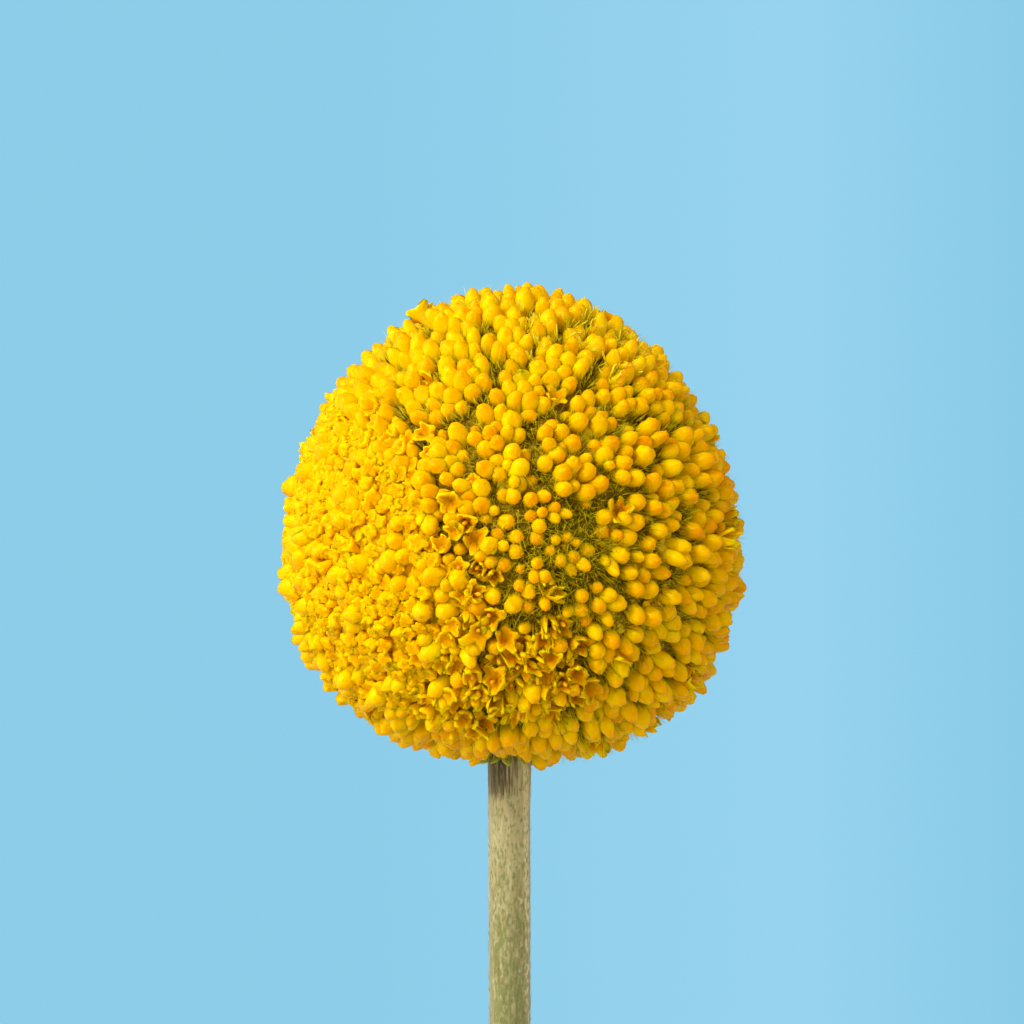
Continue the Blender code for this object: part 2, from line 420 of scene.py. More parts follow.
def papery_bract():
    """Chaffy bract: a dry film with no green left, so it's pale, satin and lets light through."""
    material, tree = new_material("papery_bract")
    colour = two_ramps(
        tree,
        [(0.1, "#DCC800"), (0.6, "#F8E600"), (1.0, "#FFF458")],
        [(0.1, "#C4B400"), (0.6, "#E6D600"), (1.0, "#F6EA20")],
    )
    return shaded(material, {
        "Base Color": colour,
        "Roughness": 0.35,
        "IOR": 1.5,
        "Specular IOR Level": 0.15,
        "Specular Tint": linear("#FFF0A0"),
        "Subsurface Weight": 0.35,
        "Subsurface Radius": (1.0, 0.95, 0.5),
        "Subsurface Scale": 0.2 * MM,
    })


def leafy_bract():
    """Bract of the involucre: a small fresh leaf, matt and green with a paler edge."""
    material, tree = new_material("leafy_bract")
    colour = two_ramps(
        tree,
        [(0.2, "#6E7A1E"), (0.7, "#98A02E"), (1.0, "#BCBC58")],
        [(0.2, "#7C7A1E"), (0.7, "#A8A228"), (1.0, "#C8C04C")],
    )
    return shaded(material, {"Base Color": colour, "Roughness": 0.6, "IOR": 1.45})


def bract_core():
    """The packed, hairy bases of the florets: brown in the deep valleys between domes, partly as painted
    shade, green-yellow on domes, golden under open florets.
    """
    material, tree = new_material("bract_core")
    place = object_place(tree)
    # Matted hairs about 0.03 mm thick, drawn at 0.13 mm: they mottle the domes light and dark
    patches = noise(tree, place, (0.13,) * 3, 3.0)
    uneven = rescaled(tree, patches, 0.3, 0.7, -0.5, 0.5)
    share = worked_out(tree, "ADD", copy_values(tree)[0], uneven)
    # The browns darken the deep valleys between domes: partly the bases' own colour, partly painted shade
    browns = [(0.0, "#866C04"), (0.35, "#AE9804"), (0.75, "#D4C606"), (1.0, "#ECB800")]
    inputs = {"Base Color": ramp(tree, share, browns), "Roughness": 0.8, "Specular IOR Level": 0.2}
    return shaded(material, inputs)


def felted_stem():
    """Stalk under a thin felt, which is matt, pales towards its edges and shows green where it is thin."""
    material, tree = new_material("felted_stem")
    marks_and_shade, groove = copy_values(tree)
    place = object_place(tree)
    height = add(tree, "ShaderNodeSeparateXYZ", {"Vector": place}).outputs["Z"]
    fibres = noise(tree, place, (0.20, 0.20, 1.3), 3.0)
    specks = noise(tree, place, (0.20, 0.20, 0.42), 3.0)
    tufts = noise(tree, place, (0.40, 0.40, 0.55), 4.0)
    streaks = noise(tree, place, (0.13, 0.13, 2.2))
    tans = [(0.30, "#7C7244"), (0.48, "#938C5A"), (0.62, "#A39C6C"), (0.78, "#B0AA7C")]
    thin_from, thin_below = 103 * MM, 88 * MM
    # Painted light: the felt pales from the lower of these heights up to the higher, below the head
    painted_light_from, painted_light_above = 93 * MM, 101 * MM
    thinner = rescaled(tree, height, thin_from, thin_below, to_high=0.17)
    thin_felt = worked_out(tree, "ADD", specks, thinner)
    streaked = worked_out(tree, "MULTIPLY_ADD", streaks, 1.5, marks_and_shade)
    coats = [
        # Painted shade darkens the grooves, and painted light pales the ridges
        (groove, 0.0, 1.0, 0.35, "#7E7238"),
        (groove, 0.0, -0.8, 1.0, "#DED49C"),
        # Painted light below the head
        (height, painted_light_from, painted_light_above, 0.5, "#C2B88A"),
        (thin_felt, 0.52, 0.70, 0.75, "#66703A"),
        (tufts, 0.60, 0.74, 0.65, "#BDB795"),
        # Dark streaks just under the head: partly a mark on the stem, partly painted shade
        (streaked, 1.10, 1.45, 0.7, "#5E5030"),
        (streaked, 1.35, 1.75, 0.85, "#2C2314"),
    ]
    return shaded(material, {
        "Base Color": layered(tree, ramp(tree, fibres, tans), coats),
        "Roughness": 0.9,
        "IOR": 1.45,
        "Specular IOR Level": 0.25,
        "Sheen Weight": 0.8,
        "Sheen Roughness": 0.5,
        "Sheen Tint": linear("#FFF2D2"),
        "Normal": relief(tree, 0.45, 0.05 * MM, specks),
    })


def pale_wool():
    """Plant wool: hollow dry hairs, which scatter light and look cream against the stem."""
    material, tree = new_material("pale_wool")
    colour = two_ramps(
        tree,
        [(0.0, "#968C5C"), (1.0, "#BDB48A")],
        [(0.0, "#8A8254"), (1.0, "#A69E70")],
    )
    return shaded(material, {"Base Color": colour, "Roughness": 0.6, "IOR": 1.5})


def soda_glass():
    """Moulded soda-lime glass: clear, faintly green, with the slow ripple that a mould leaves."""
    material, tree = new_material("soda_glass")
    place = object_place(tree)
    ripple = noise(tree, place, (9, 9, 14), 1.0)
    tint = ramp(tree, ripple, [(0.3, "#F1F8F5"), (0.7, "#F7FBF9")])
    inputs = {"Base Color": tint, "Roughness": 0.01, "IOR": 1.52, "Transmission Weight": 1.0}
    inputs["Normal"] = relief(tree, 0.4, 0.25 * MM, ripple)
    return shaded(material, inputs)


def still_water():
    """Tap water that stood a while: clear, and its skin is flat but for the faintest sag."""
    material, tree = new_material("still_water")
    place = object_place(tree)
    haze = noise(tree, place, (8,) * 3, 1.0)
    tint = ramp(tree, haze, [(0.3, "#F8FBFA"), (0.7, "#FDFEFD")])
    return shaded(material, {"Base Color": tint, "Roughness": 0.0, "IOR": 1.333, "Transmission Weight": 1.0})


# Meshes: a skin is a pole, rings of points and a pole, and it is copied onto many roots


ON_HEAD = ("flower_head", "waxy_florets")
ON_STEM = ("stem", "felted_stem")


def new_object(name, data):
    obj = bpy.data.objects.new(name, data)
    bpy.context.scene.collection.objects.link(obj)
    return obj


def skin_faces(sides, rings):
    here = np.arange(sides)
    after = (here + 1) % sides
    row = 1 + np.arange(rings - 1)[:, None] * sides
    bands = np.stack([row + here, row + after, row + sides + after, row + sides + here], -1)
    last = 1 + rings * sides
    low_cap = np.stack([np.zeros(sides, int), 1 + after, 1 + here], -1)
    high_cap = np.stack([last - sides + here, last - sides + after, np.full(sides, last)], -1)
    return bands.reshape(-1, 4), np.concatenate([low_cap, high_cap])


def skin_points(radius, height, sides, turn=0.0):
    """A skin's points, from a row of radii and of heights for each ring. The first and last are its poles."""
    angle = np.arange(sides) / sides * math.tau + turn
    angle = np.broadcast_to(angle, (len(radius), sides))[1:-1]
    radius = np.broadcast_to(radius, (len(radius), sides))[1:-1]
    up = np.broadcast_to(height, (len(height), sides))
    rings = np.stack([radius * np.cos(angle), radius * np.sin(angle), up[1:-1]], -1)
    poles = [[[0, 0, up[0, 0]]], [[0, 0, up[-1, 0]]]]
    return np.concatenate([poles[0], rings.reshape(-1, 3), poles[1]])


def per_point(values, sides):
    """One value for each of a skin's points, from one for each ring."""
    return np.concatenate([values[:1], np.repeat(values[1:-1], sides), values[-1:]])


def whole_skin(radius, up, sides):
    """A skin's points and faces, and how far up it each point is."""
    points = skin_points(radius, up[:, None], sides)
    return points, skin_faces(sides, len(up) - 2), per_point(up, sides)


def grow(shapes, roots, tips, widths, bend):
    """Copies a shape, sized in widths across and from root to tip along, onto each root and tip."""
    axis = tips - roots
    aim = unit(axis)
    turn = draw.uniform(0, math.tau, len(roots))[:, None]
    any_side = unit(np.cross(aim, draw.normal(size=aim.shape)))
    other = np.cross(aim, any_side)
    side = any_side * np.cos(turn) + other * np.sin(turn)
    other = np.cross(aim, side)
    up = shapes[..., 2:]
    bow = 4 * up * (1 - up) * bend[:, None, None]
    across = shapes[..., :1] * widths[:, None, None]
    over = shapes[..., 1:2] * widths[:, None, None]
    return (
        roots[:, None]
        + up * axis[:, None]
        + (across + bow) * side[:, None]
        + over * other[:, None]
    )


def piece(name, node, slot, material, points, faces, along=0.0, chance=0.0, crease=180):
    """One object from many copies. points is copies by points by 3, and faces are of one copy."""
    copies, count = points.shape[:2]
    shift = np.arange(copies)[:, None, None] * count
    mesh = bpy.data.meshes.new(name)
    polygons = []
    for group in faces:
        polygons += (group[None] + shift).reshape(-1, group.shape[-1]).tolist()
    mesh.from_pydata(points.reshape(-1, 3).tolist(), [], polygons)
    for label, values in (("along", along), ("chance", chance)):
        values = np.broadcast_to(values, (copies, count)).astype(np.float32)
        mesh.attributes.new(label, "FLOAT", "POINT").data.foreach_set("value", values.ravel())
    mesh.shade_smooth()
    if crease < 180:
        mesh.set_sharp_from_angle(angle=math.radians(crease))
    mesh.materials.append(material)
    obj = new_object(name, mesh)
    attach(obj, "root")
    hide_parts(node)


def copies(name, place, material, shape, roots, tips, widths, bend):
    """One object from copies of one shape, where the place is its node and its slot. The slot is not used."""
    outline, faces, along = shape
    points = grow(outline[None], roots, tips, widths, bend)
    piece(name, *place, material, points, faces, along, draw.random((len(roots), 1)))


# Where the florets stand


def spiral(count, shake):
    """Directions spread evenly over a ball as in a seed head, shaken a little."""
    index = np.arange(count) + 0.5
    height = 1 - 2 * index / count
    turn = index * math.pi * (3 - math.sqrt(5))
    flat = np.sqrt(1 - height**2)
    points = np.stack([flat * np.cos(turn), flat * np.sin(turn), height], -1)
    return unit(points + draw.uniform(-shake, shake, points.shape))


def nearness(directions, middle, reach):
    """1 at the middle of a patch, falling to 0 past its reach in degrees."""
    angle = np.degrees(np.arccos(np.clip(directions @ unit(np.array(middle)), -1, 1)))
    return 1 - smooth(PATCH_WHOLE * reach, PATCH_GONE * reach, angle)


def crowding(directions):
    """1 in the first patch, where open florets crowd each other, falling to 0 beside it."""
    middle, reach, _ = OPEN_PATCHES[0]
    return nearness(directions, middle, reach)


def youth(directions):
    return nearness(directions, YOUNG_DIRECTION, YOUNG_REACH)


def on_head(directions, depth):
    """Points under the head's outer surface, at a depth measured towards its middle."""
    up = directions[:, 2]
    fullness = 1 - LOWER_FULLNESS * up * (1 - up**2)
    fullness = fullness + BULGE * nearness(directions, BULGE_DIRECTION, BULGE_REACH)
    return HEAD_CENTRE + directions * HEAD_REACH * (fullness - depth / HEAD_MEAN)[:, None]


def open_share(aims):
    """The share of florets that are open, for each direction."""
    share = np.full(len(aims), OPEN_ELSEWHERE)
    for middle, reach, most in OPEN_PATCHES:
        share = np.maximum(share, most * nearness(aims, middle, reach))
    return share


def floret_crowding(aims):
    """How close florets stand: 1 in the crowded patch, and less where open ones mix with closed ones."""
    return np.maximum(MIXED_CROWDING * open_share(aims), crowding(aims))


def settle(aims, room):
    """Pushes directions apart until each has its room, as florets crowd each other while they grow."""
    for _ in range(SETTLE_ROUNDS):
        apart = np.sqrt(np.clip(2 - 2 * aims @ aims.T, 1e-9, None))
        push = np.clip((room[:, None] + room) / 2 / apart - 1, 0, MOST_PUSH)
        np.fill_diagonal(push, 0)
        shove = push.sum(1)[:, None] * aims - push @ aims
        aims = unit(aims + SETTLE_STEP * shove)
    return aims


def floret_aims():
    """Directions of all florets: closer together where they are open."""
    aims = spiral(FLORETS_TRIED, FLORET_SHAKE)
    room = BUD_ROOM + (OPEN_ROOM - BUD_ROOM) * floret_crowding(aims)
    young = youth(aims)
    room += (YOUNG_ROOM - room) * young
    kept = draw.random(FLORETS_TRIED) < (OPEN_ROOM / room) ** 2
    return settle(aims[kept], room[kept] / HEAD_MEAN)


def floret_field(cluster_aims):
    """Each floret's aim, root and tip, how wide it is, whether it is open, and how young."""
    aims = floret_aims()
    count = len(aims)
    aims = unit(aims + draw.normal(0, SETTLED_SHAKE / HEAD_MEAN, aims.shape))
    owner = np.argmax(aims @ cluster_aims.T, axis=1)
    centres = cluster_aims[owner]
    crowded = crowding(aims)
    aims = unit(aims + CLUSTER_PULL * (1 - crowded)[:, None] * (centres - aims))
    young = youth(aims)
    late = draw.random(count) < LATE_SHARE
    is_open = ~late & (draw.random(count) < open_share(aims) * (1 - YOUNG_CLOSED * young))
    depth = draw.uniform(0, CLUSTER_RISE, CLUSTERS)[owner] + draw.uniform(0, FLORET_RISE, count)
    depth += CROWDED_EVENNESS * crowded * (CROWDED_DEPTH - depth)
    depth += YOUNG_DEPTH * young + LATE_DEPTH * late * (1 - CROWDED_EVENNESS * crowded)
    depth -= CROWDED_BUD_RISE * crowded * ~is_open
    tips = on_head(aims, depth)
    length = FLORET_LENGTH * draw.uniform(*FLORET_LENGTHS, count)
    root_aims = unit(centres + ROOT_SPREAD * (aims - centres))
    shake = np.where(is_open, OPEN_ROOT_SHAKE, ROOT_SHAKE)[:, None]
    roots = on_head(root_aims, length) + shake * draw.normal(size=aims.shape)
    width = draw.uniform(*FLORET_WIDTHS, count) * (1 - YOUNG_SHRINK * young)
    width = width * np.where(late, LATE_WIDTH, 1.0) * (1 + CROWDED_BUD_GROWTH * crowded * ~is_open)
    from_stem = np.linalg.norm((tips - HEAD_CENTRE + HEAD_SHIFT)[:, :2], axis=1)
    keep = (from_stem > STEM_CLEAR) | (aims[:, 2] > 0)
    return [values[keep] for values in (aims, roots, tips, width, is_open, young)]


def gap_spots(aims):
    """The middles of the widest gaps between florets, none of them side by side."""
    tries = spiral(GAP_TRIES, EVEN_SHAKE)
    nearest = (tries @ aims.T).max(axis=1)
    spots = []
    clear = math.cos(GAP_CLEAR / HEAD_MEAN)
    for index in np.argsort(nearest):
        if all(tries[index] @ spot < clear for spot in spots):
            spots.append(tries[index])
        if len(spots) == GAPS:
            break
    return np.array(spots)


# Shapes that are copied: across in widths, up from 0 at the root to 1 at the tip


def bud_shape():
    """A club: a thin stalk that swells to a blunt egg with five seams at its tip."""
    sides = 10
    up = np.array([0.0, 0.0, 0.24, 0.41, 0.54, 0.65, 0.74, 0.82, 0.88, 0.94, 0.98, 1.0])
    stalk_width, widest, seam_depth = 0.36, 0.74, 0.08
    swell = stalk_width + (1 - stalk_width) * smooth(0.08, 0.70, up)
    past = np.clip(up - widest, 0, None) / (1 - widest)
    radius = swell * np.sqrt(np.clip(1 - past**2, 0, 1))
    seams = 1 - seam_depth * smooth(0.84, 0.97, up)[:, None] * (np.arange(sides) % 2)
    return whole_skin(radius[:, None] * seams, up, sides)


def open_shapes():
    """A tube that widens to a cup, and what is added to it: a full throat, notches, and lobes that turn."""
    sides = 4 * LOBES
    place = np.tile([0, -0.25, 0, 0.25], LOBES)
    lobe = np.tile([0, 0.9, 1, 0.9], LOBES)
    # Each ring: up, up where the throat is full, radius, share of the lobe's reach and of the notch's
    # depth, place along the tissue
    rings = (
        (0.0, 0.0, 0.0, 0.0, 0.0, 0.0),
        (0.30, 0.30, 0.30, 0.0, 0.0, 0.1),
        (0.60, 0.60, 0.46, 0.0, 0.0, 0.3),
        (0.77, 0.79, 0.74, 0.0, 0.0, 0.45),
        (0.85, 0.85, 0.84, 0.55, 0.5, 0.5),
        (0.895, 0.895, 0.82, 1.0, 1.0, 0.53),
        (0.91, 0.915, 0.75, 1.0, 1.0, 0.56),
        (0.885, 0.925, 0.65, 0.5, 0.9, 0.64),
        (0.77, 0.94, 0.48, 0.0, 0.0, 0.8),
        (0.68, 0.955, 0.0, 0.0, 0.0, 1.0),
    )
    up, full_up, radius, out, notch, along = (np.array(column) for column in zip(*rings))
    reach = out[:, None] * lobe
    # How far a lobe narrows to its tip, stands up, curls over and swings aside, and how deep notches are
    narrowing, notch_depth, rise = 0.4, 0.10, 0.10
    curl_out, curl_up, curl_down, swing = 0.68, 0.03, 0.09, 0.5
    narrowed = -narrowing * (place / LOBES * math.tau) * out[:, None] ** 2
    curl = curl_up * reach - curl_down * reach**2
    radius, up, full_up = radius[:, None], up[:, None], full_up[:, None]
    cup = skin_points(radius, up, sides, narrowed)
    changed = {
        "full": (radius, full_up, 0),
        "notched": (radius, up - notch_depth * notch[:, None] * (1 - lobe), 0),
        "upright": (radius - rise * reach, up + rise * reach, 0),
        "curled": (radius + curl_out * reach, up + curl, 0),
        "swung": (radius, up, swing * reach),
    }
    changes = {
        name: skin_points(wide, high, sides, narrowed + turn) - cup
        for name, (wide, high, turn) in changed.items()
    }
    owner = np.concatenate([[0], np.tile(np.arange(sides) * LOBES // sides, len(rings) - 2), [0]])
    return cup, changes, owner, skin_faces(sides, len(rings) - 2), per_point(along, sides)


def column_shape():
    """A slim column in the throat that ends in a rounded tip with a narrower neck under it."""
    sides = 6
    up = np.array([0.66, 0.66, 0.80, 0.87, 0.93, 0.965])
    radius = np.array([0.0, 0.18, 0.18, 0.30, 0.22, 0.0])
    return whole_skin(radius[:, None], up, sides)


def hair_shape(middle):
    """A tapering hair with rings at its root and at the places named."""
    sides, taper = 3, 0.6
    up = np.array([0.0, 0.0, *middle, 1.0])
    radius = np.where(up == 1, 0, 1 - taper * up)
    radius[0] = 0
    return whole_skin(radius[:, None], up, sides)


def bract_shape():
    """A narrow flat leaf with a pointed tip, a little dished."""
    sides, thickness, dish = 6, 0.12, 0.35
    up = np.array([0.0, 0.0, 0.35, 0.65, 0.85, 0.95, 1.0])
    radius = np.array([0.0, 0.4, 0.8, 1.0, 0.75, 0.35, 0.0])
    points, faces, along = whole_skin(radius[:, None], up, sides)
    points[:, 1] = thickness * points[:, 1] + dish * points[:, 0] ** 2
    return points, faces, along


# The flower head


def in_halves(name, material, points, faces, along, chance):
    """Copies come in order of height, so the halves are the upper and the lower ones."""
    half = len(points) // 2
    for level, part in (("upper_", slice(0, half)), ("lower_", slice(half, None))):
        piece(level + name, *ON_HEAD, material, points[part], faces, along, chance[part])


def closed_buds(roots, tips, width, young, crowded):
    """Most buds are a little uneven, and some are puckered. The upper and the crowded ones are paler."""
    shape, faces, along = bud_shape()
    count = len(roots)
    uneven = np.where(draw.random(count) < PUCKERED_SHARE, PUCKERED_LUMPS, PLAIN_LUMPS)[:, None, None]
    lumps = uneven * draw.normal(size=(count, *shape.shape)) * BUD_LUMP_SHAPE
    shapes = shape + lumps * smooth(*BUD_LUMPS_FROM, shape[:, 2:])
    bend = draw.normal(0, BUD_BEND, count)
    points = grow(shapes, roots, tips, BUD_WIDTH * width, bend)
    high = smooth(*TOP_FROM, unit(tips - HEAD_CENTRE)[:, 2])
    pale = CROWDED_PALENESS * np.maximum(crowded, TOP_PALENESS * high)
    chance = draw.random(count) ** AMBER_POWER * (1 - pale) + YOUNG_AMBER * young
    chance = np.clip(chance, 0, 1)[:, None]
    in_halves("closed_buds", waxy_bud(), points, faces, along, chance)


def open_florets(roots, tips, width, crowded):
    """Crowded ones are small, full and even. The others are ragged, amber and longer in the lobe."""
    cup, changes, owner, faces, along = open_shapes()
    count = len(roots)
    loose = (1 - crowded)[:, None]
    each_lobe = (count, LOBES)

    def by_lobe(values):
        return values[:, owner, None]

    def left(crowded_share):
        return crowded_share + (1 - crowded_share) * loose

    opened = draw.random((count, 1)) * left(CROWDED_SPREAD) + CROWDED_OPENED * (1 - loose)
    opened = np.clip(opened + draw.normal(0, LOBE_SHAKE, each_lobe) * left(CROWDED_SHAKE), 0, 1)
    length = draw.uniform(*LOBE_LENGTHS, each_lobe) + loose * LONG_LOBES * draw.random(each_lobe) ** 2
    notch = draw.uniform(*NOTCH_DEPTHS, each_lobe) * left(CROWDED_NOTCH)
    swing = draw.normal(0, LOBE_SWING, each_lobe) * (1 + loose)
    shapes = cup + CROWDED_THROAT * crowded[:, None, None] * changes["full"]
    shapes = shapes + by_lobe(notch) * changes["notched"] + by_lobe(swing) * changes["swung"]
    shapes = shapes + by_lobe(length * (1 - opened)) * changes["upright"]
    shapes = shapes + by_lobe(length * opened) * changes["curled"]
    lumpy = OPEN_LUMPS + LOOSE_LUMPS * loose[..., None]
    lumps = draw.normal(0, 1, shapes.shape) * OPEN_LUMP_SHAPE * lumpy
    shapes = shapes + lumps * smooth(*OPEN_LUMPS_FROM, shapes[..., 2:])
    bend = draw.normal(0, OPEN_BEND, count)
    widths = OPEN_WIDTH * width * (1 + LOOSE_GROWTH * (1 - crowded))
    points = grow(shapes, roots, tips, widths, bend)
    chance = loose * draw.uniform(*LOOSE_AMBER, (count, 1))
    chance += (1 - loose) * draw.uniform(*CROWDED_AMBER, (count, 1))
    in_halves("open_florets", open_floret_tissue(), points, faces, along, chance)


def anther_columns(roots, tips, crowded):
    shown = draw.random(len(roots)) < COLUMN_SHARE * (1 - crowded)
    roots, tips = roots[shown], tips[shown]
    lean = draw.normal(0, COLUMN_LEAN, roots.shape)
    bend = draw.normal(0, COLUMN_BEND, len(roots))
    widths = np.full(len(roots), OPEN_WIDTH)
    copies("anther_columns", ON_HEAD, anther_column(), column_shape(), roots, tips + lean, widths, bend)


def tuft_ends(spots, each, low, high, spread, root=HAIR_ROOT_DEPTH):
    """Roots and tips of tufts that fan out from deep in each spot."""
    aims = np.repeat(spots, each, axis=0)
    splay = draw.normal(0, spread * MM / HEAD_MEAN, aims.shape)
    starts = on_head(unit(aims + HAIR_ROOT_SPREAD * splay), root)
    ends = on_head(unit(aims + splay), draw.uniform(low * MM, high * MM, len(aims)))
    return starts, ends


def floret_hairs(spots):
    """Tufts in the widest gaps, a tangle among the youngest buds, and stubble over the whole core."""
    patch = unit(np.array(YOUNG_DIRECTION) + draw.normal(0, TANGLE_REACH, (TANGLE_HAIRS, 3)))
    groups = (
        tuft_ends(spots, HAIRS_IN_GAP, *GAP_TUFT),
        tuft_ends(patch, 1, *TANGLE_TUFT),
        tuft_ends(spiral(STUBBLE_HAIRS, EVEN_SHAKE), 1, *STUBBLE_TUFT),
    )
    starts, ends = (np.concatenate(parts) for parts in zip(*groups))
    crowded = crowding(unit(starts - HEAD_CENTRE))
    kept = draw.random(len(starts)) > HAIRLESS_SHARE * smooth(HAIRLESS_FROM, 1.0, crowded)
    starts, ends = starts[kept], ends[kept]
    widths = HAIR_WIDTH * draw.uniform(*HAIR_WIDTHS, len(starts))
    straight = np.zeros(len(starts))
    copies("floret_hairs", ON_HEAD, silky_hair(), hair_shape(()), starts, ends, widths, straight)


def chaff(spots):
    """Tufts of pale chaff, which are shreds of torn bracts, in the gaps near the top."""
    near = nearness(spots, CHAFF_DIRECTION, CHAFF_REACH) > draw.random(len(spots))
    starts, ends = tuft_ends(spots[near], SHREDS_IN_GAP, *CHAFF_TUFT, CHAFF_ROOT_DEPTH)
    bend = draw.normal(0, CHAFF_BEND, len(starts))
    widths = CHAFF_WIDTH * draw.uniform(*CHAFF_WIDTHS, len(starts))
    copies("chaff", ON_HEAD, papery_bract(), bract_shape(), starts, ends, widths, bend)


def green_bracts():
    """Small leaves that fan out from the stem's top, half hidden by the lowest florets."""
    place = np.arange(GREEN_BRACTS) + draw.uniform(-BRACT_SHAKE, BRACT_SHAKE, GREEN_BRACTS)
    angle = place / GREEN_BRACTS * math.tau
    out = np.stack([np.cos(angle), np.sin(angle), np.zeros(GREEN_BRACTS)], -1)
    top = np.array([0.0, STEM_TOP_Y, HEAD_LOW[2]])
    starts = top + out * BRACT_ROOT_OUT * MM + (0, 0, BRACT_ROOT_UP * MM)
    ends = top + out * draw.uniform(*BRACT_TIPS_OUT, (GREEN_BRACTS, 1)) * MM
    ends[:, 2] += draw.uniform(*BRACT_TIPS_UP, GREEN_BRACTS) * MM
    bend = draw.normal(0, BRACT_BEND, GREEN_BRACTS)
    widths = np.full(GREEN_BRACTS, BRACT_WIDTH)
    copies("green_bracts", ON_HEAD, leafy_bract(), bract_shape(), starts, ends, widths, bend)


def head_core(cluster_aims):
    """A ball of floret bases that closes the view through the head, with a dome under each cluster."""
    sides, rings = 230, 144
    polar = np.linspace(0, math.pi, rings + 2)[:, None]
    aims = skin_points(np.sin(polar), -np.cos(polar), sides)
    apart = np.sqrt(np.clip(2 - 2 * (aims @ cluster_aims.T).max(axis=1), 0, None)) * HEAD_MEAN
    crowded = smooth(CROWDED_CORE_FROM, 1.0, crowding(aims))
    dome = (1 - smooth(*CORE_DOME_REACH, apart)) * (1 - youth(aims))
    depth = CORE_DEPTH - CORE_DOME * dome - CROWDED_CORE_RISE * crowded
    depth += draw.normal(0, CORE_SHAKE, len(aims))
    # Lighter where the core is raised, darker where it lies deep: partly painted shade
    raised_share = dome + (1.0 - dome) * crowded
    piece("head_core", *ON_HEAD, bract_core(), on_head(aims, depth)[None], skin_faces(sides, rings), raised_share)


def flower_head():
    cluster_aims = spiral(CLUSTERS, CLUSTER_SHAKE)
    aims, roots, tips, width, is_open, young = floret_field(cluster_aims)
    crowded = crowding(aims)
    closed_buds(*(values[~is_open] for values in (roots, tips, width, young, crowded)))
    open_florets(*(values[is_open] for values in (roots, tips, width, crowded)))
    anther_columns(*(values[is_open] for values in (roots, tips, crowded)))
    spots = gap_spots(aims)
    floret_hairs(spots)
    chaff(spots)
    green_bracts()
    head_core(cluster_aims)


# The stem, on the same line as in the CAD


# Felt adds a little to the stalk's radius of 1.3 mm
STEM_RADIUS = 1.34 * MM
STEM_FOOT_Y = 2.3 * MM
STEM_TOP_Y = -4.2 * MM
STEM_BEND = 1.6
CUT_SLANT = math.radians(35)
# Slow swellings: share of the radius, waves round the stem, radians up each metre
SWELLINGS = ((0.010, 3, 300), (0.008, 2, -170))
# It widens by this share at the head
FLARE = 0.05
FLARE_HEIGHTS = (HEAD_LOW[2] - 3 * MM, HEAD_LOW[2] + 1 * MM)
# Shallow grooves down the stem, in degrees round it, where painted shade darkens the felt, and ridges between
# them, where painted light makes it pale
STEM_GROOVES = (-67, 25, 112, 197)
STEM_LIT_RIDGES = (-33, 62, 150)
GROOVE_DEPTH = 0.035
# They wander sideways: how far, and radians up each metre. Beside them they end at this cosine
LINE_WANDER, LINE_WAVES = 0.10, 160
LINE_REACH = 0.955
# Dark streaks just under the head, partly a mark on the stem and partly painted shade: heights where they
# start and are whole, and places across where they are gone and whole, in radii
MARK_AND_SHADE_HEIGHTS = (HEAD_LOW[2] - 2.6 * MM, HEAD_LOW[2] - 1.1 * MM)
MARK_AND_SHADE_ACROSS = (1.5, -0.9)
# Wool: lengths and how far the tips stand off in millimetres. All but the flat share stand off more
WOOL_HAIRS = 5200
WOOL_WIDTH = 0.012 * MM
WOOL_HEIGHTS = (STEM_LOW[2] + 2 * MM, HEAD_LOW[2] + 1 * MM)
WOOL_LENGTHS = (0.35, 0.8)
WOOL_RISES = (0.01, 0.10)
FLAT_SHARE = 0.9
RAISED_MORE = 1.5
WOOL_TURN = 0.14
WOOL_SUNK = 0.02 * MM
WOOL_BEND = 0.03 * MM


def stem_middle(height):
    share = (height - STEM_LOW[2]) / (STEM_HIGH[2] - STEM_LOW[2])
    lean = (STEM_FOOT_Y - STEM_TOP_Y) * np.clip(1 - share, 0, None) ** STEM_BEND
    return STEM_TOP_Y + lean


def stem_line(angle, height, places):
    """1 along the middle of each line down the stem, falling to 0 beside it."""
    wander = LINE_WANDER * np.sin(LINE_WAVES * height)
    towards = [np.cos(angle - math.radians(place) - wander) for place in places]
    return smooth(LINE_REACH, 1.0, np.max(towards, axis=0))


def stem_girth(angle, height):
    """The stem's radius: grooves, slow swellings, and a flare where it meets the head."""
    slow = sum(size * np.sin(around * angle + up * height) for size, around, up in SWELLINGS)
    flare = FLARE * smooth(*FLARE_HEIGHTS, height)
    return STEM_RADIUS * (1 + slow + flare - GROOVE_DEPTH * stem_line(angle, height, STEM_GROOVES))


def stem_surface(angle, height, lift=0.0):
    girth = stem_girth(angle, height) + lift
    across = girth * np.cos(angle)
    return np.stack([across, stem_middle(height) + girth * np.sin(angle), height], -1)


